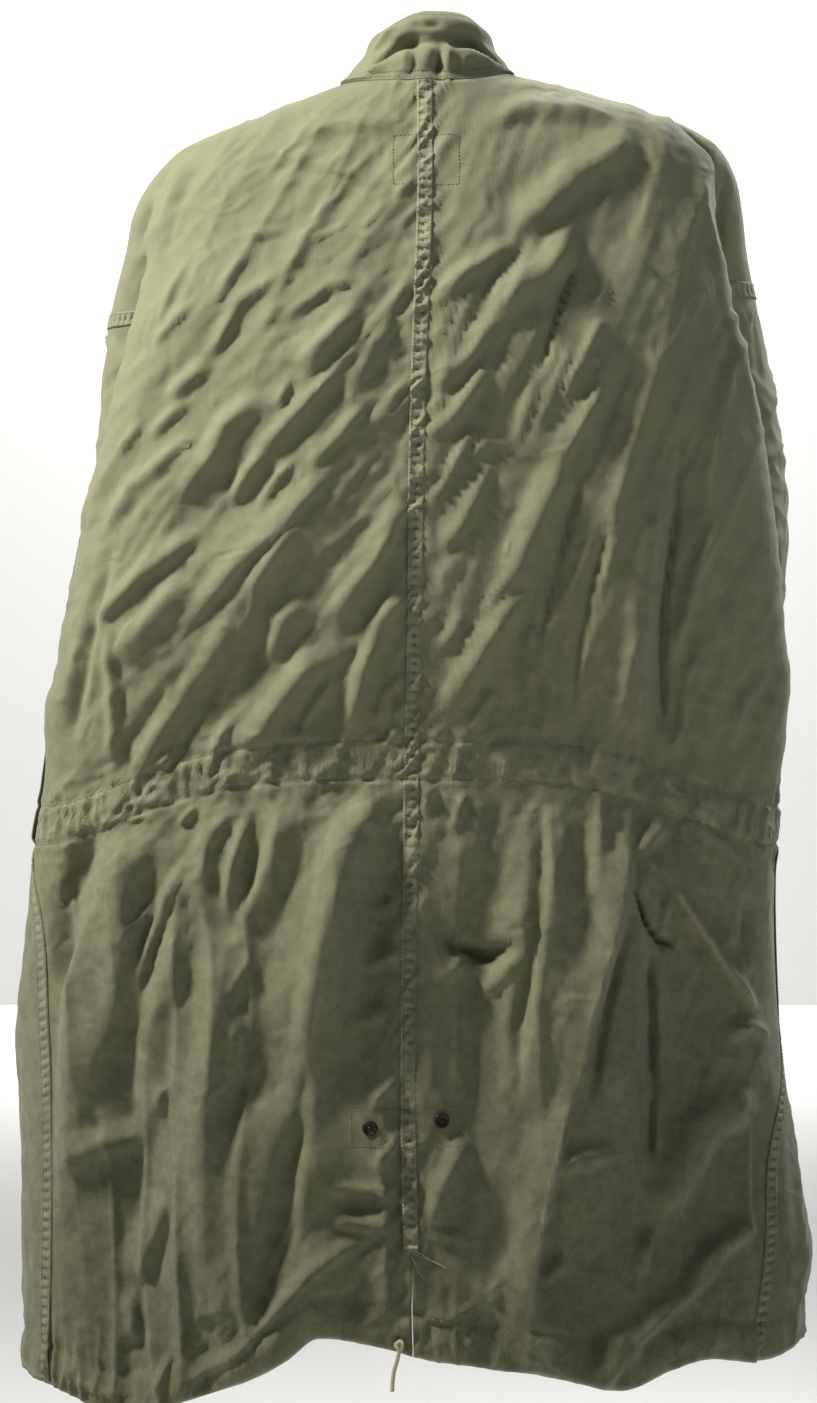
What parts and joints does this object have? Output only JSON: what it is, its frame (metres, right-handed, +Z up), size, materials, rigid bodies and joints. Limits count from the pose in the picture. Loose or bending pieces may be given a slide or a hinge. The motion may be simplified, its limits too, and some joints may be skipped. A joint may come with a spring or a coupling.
{
  "type": "fishtail parka",
  "caption": "Long loose cotton parka, filled out and hollow, with a stand collar, dropped sleeves, a gathered waist, a split tail and a front zip.",
  "frame": {"origin": "level with the collar seam, inside the base of the neck, where the wearer's shoulders hold the garment up", "axes": "+Z up along the garment's length, +Y out of the back, +X to the wearer's left"},
  "size_m": [0.6632, 0.3319, 1.1603],
  "materials": {
    "cotton": "faded olive drab cotton sateen, dull",
    "cotton_band": "the same cloth where it is doubled, felled and puckered",
    "cord": "pale braided cotton cord and heavy thread",
    "dark_metal": "blackened brass, worn",
    "zip_metal": "aged brass"
  },
  "bodies": {
    "parka": {"back_left": "cotton", "back_right": "cotton", "front_left": "cotton", "front_right": "cotton", "sleeve_left": "cotton", "sleeve_right": "cotton", "cuff_left": "cotton", "cuff_right": "cotton", "collar": "cotton", "seam_centre_back": "cotton_band", "seam_side_left": "cotton_band", "seam_side_right": "cotton_band", "seam_arm_left": "cotton_band", "seam_arm_right": "cotton_band", "casing_back_left": "cotton_band", "casing_back_right": "cotton_band", "casing_front_left": "cotton_band", "casing_front_right": "cotton_band", "neck_patch": "cotton_band", "tail_patch": "cotton_band", "snap_left": "dark_metal", "snap_right": "dark_metal", "bar_tack": "cord", "hem_cord_knot": "cord", "hem_cord": "cord", "zip_tape_left": "cotton_band", "zip_tape_right": "cotton_band", "zip_chain": "zip_metal", "zip_slider": "zip_metal"},
    "pull_tab": {"zip_pull": "zip_metal"}
  },
  "joints": [
    {"name": "pull_tab_hinge", "type": "hinge", "parent": "parka", "child": "pull_tab", "pos_m": [-0.00403, -0.08908, -0.06729], "axis": [-1, 0, 0], "range_deg": [0, 100]}
  ]
}
